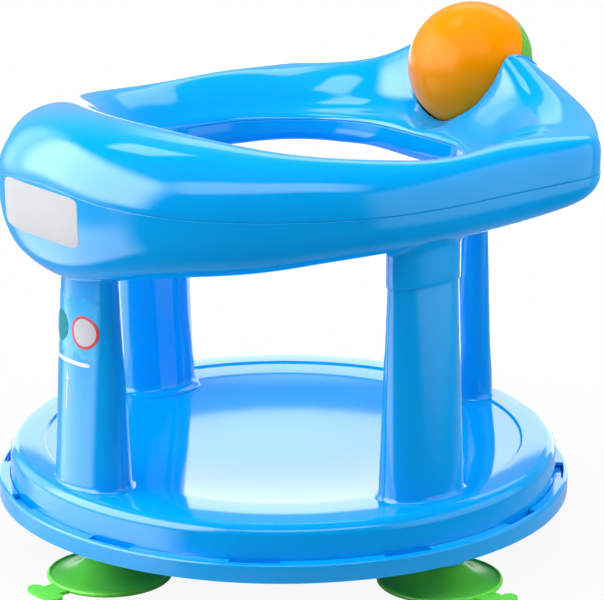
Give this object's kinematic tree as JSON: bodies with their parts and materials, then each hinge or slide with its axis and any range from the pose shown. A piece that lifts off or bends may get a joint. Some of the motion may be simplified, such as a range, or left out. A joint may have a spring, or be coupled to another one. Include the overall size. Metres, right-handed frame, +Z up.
{
  "type": "baby bath seat",
  "caption": "Swivelling baby bath seat: round base on suction cups, dished tray with oval posts, sculpted ring with raised backrest, and a play ball that spins on an axle at the front",
  "frame": {"origin": "on the swivel axis, in the plane that the suction cups rest on", "axes": "+Z up along the swivel axis; +Y towards the backrest; -Y towards the play ball; +X to the sitter's left"},
  "size_m": [0.3646, 0.3646, 0.2956],
  "materials": {
    "blue_plastic": "gloss",
    "green_rubber": "satin",
    "green_plastic": "gloss",
    "orange_plastic": "gloss",
    "white_plastic": "matte",
    "screw_steel": "brushed"
  },
  "bodies": {
    "base": {"base_dish": "blue_plastic", "suction_cup_back": "green_rubber", "suction_cup_right": "green_rubber", "suction_cup_front": "green_rubber", "suction_cup_left": "green_rubber"},
    "seat": {"swivel_tray": "blue_plastic", "pivot_screw": "screw_steel", "pivot_washer": "white_plastic", "ring_lower_shell": "blue_plastic", "ring_upper_shell": "blue_plastic", "ring_screws": "screw_steel", "post_screws": "screw_steel", "ball_axle": "white_plastic"},
    "ball": {"ball_inner_half": "orange_plastic", "ball_outer_half": "green_plastic"}
  },
  "joints": [
    {"name": "seat_swivel", "type": "hinge", "parent": "base", "child": "seat", "pos_m": [0, 0, 0.044], "axis": [0, 0, 1], "continuous": true},
    {"name": "ball_spin", "type": "hinge", "parent": "seat", "child": "ball", "pos_m": [0, -0.1433, 0.2574], "axis": [1, 0, 0], "continuous": true}
  ]
}
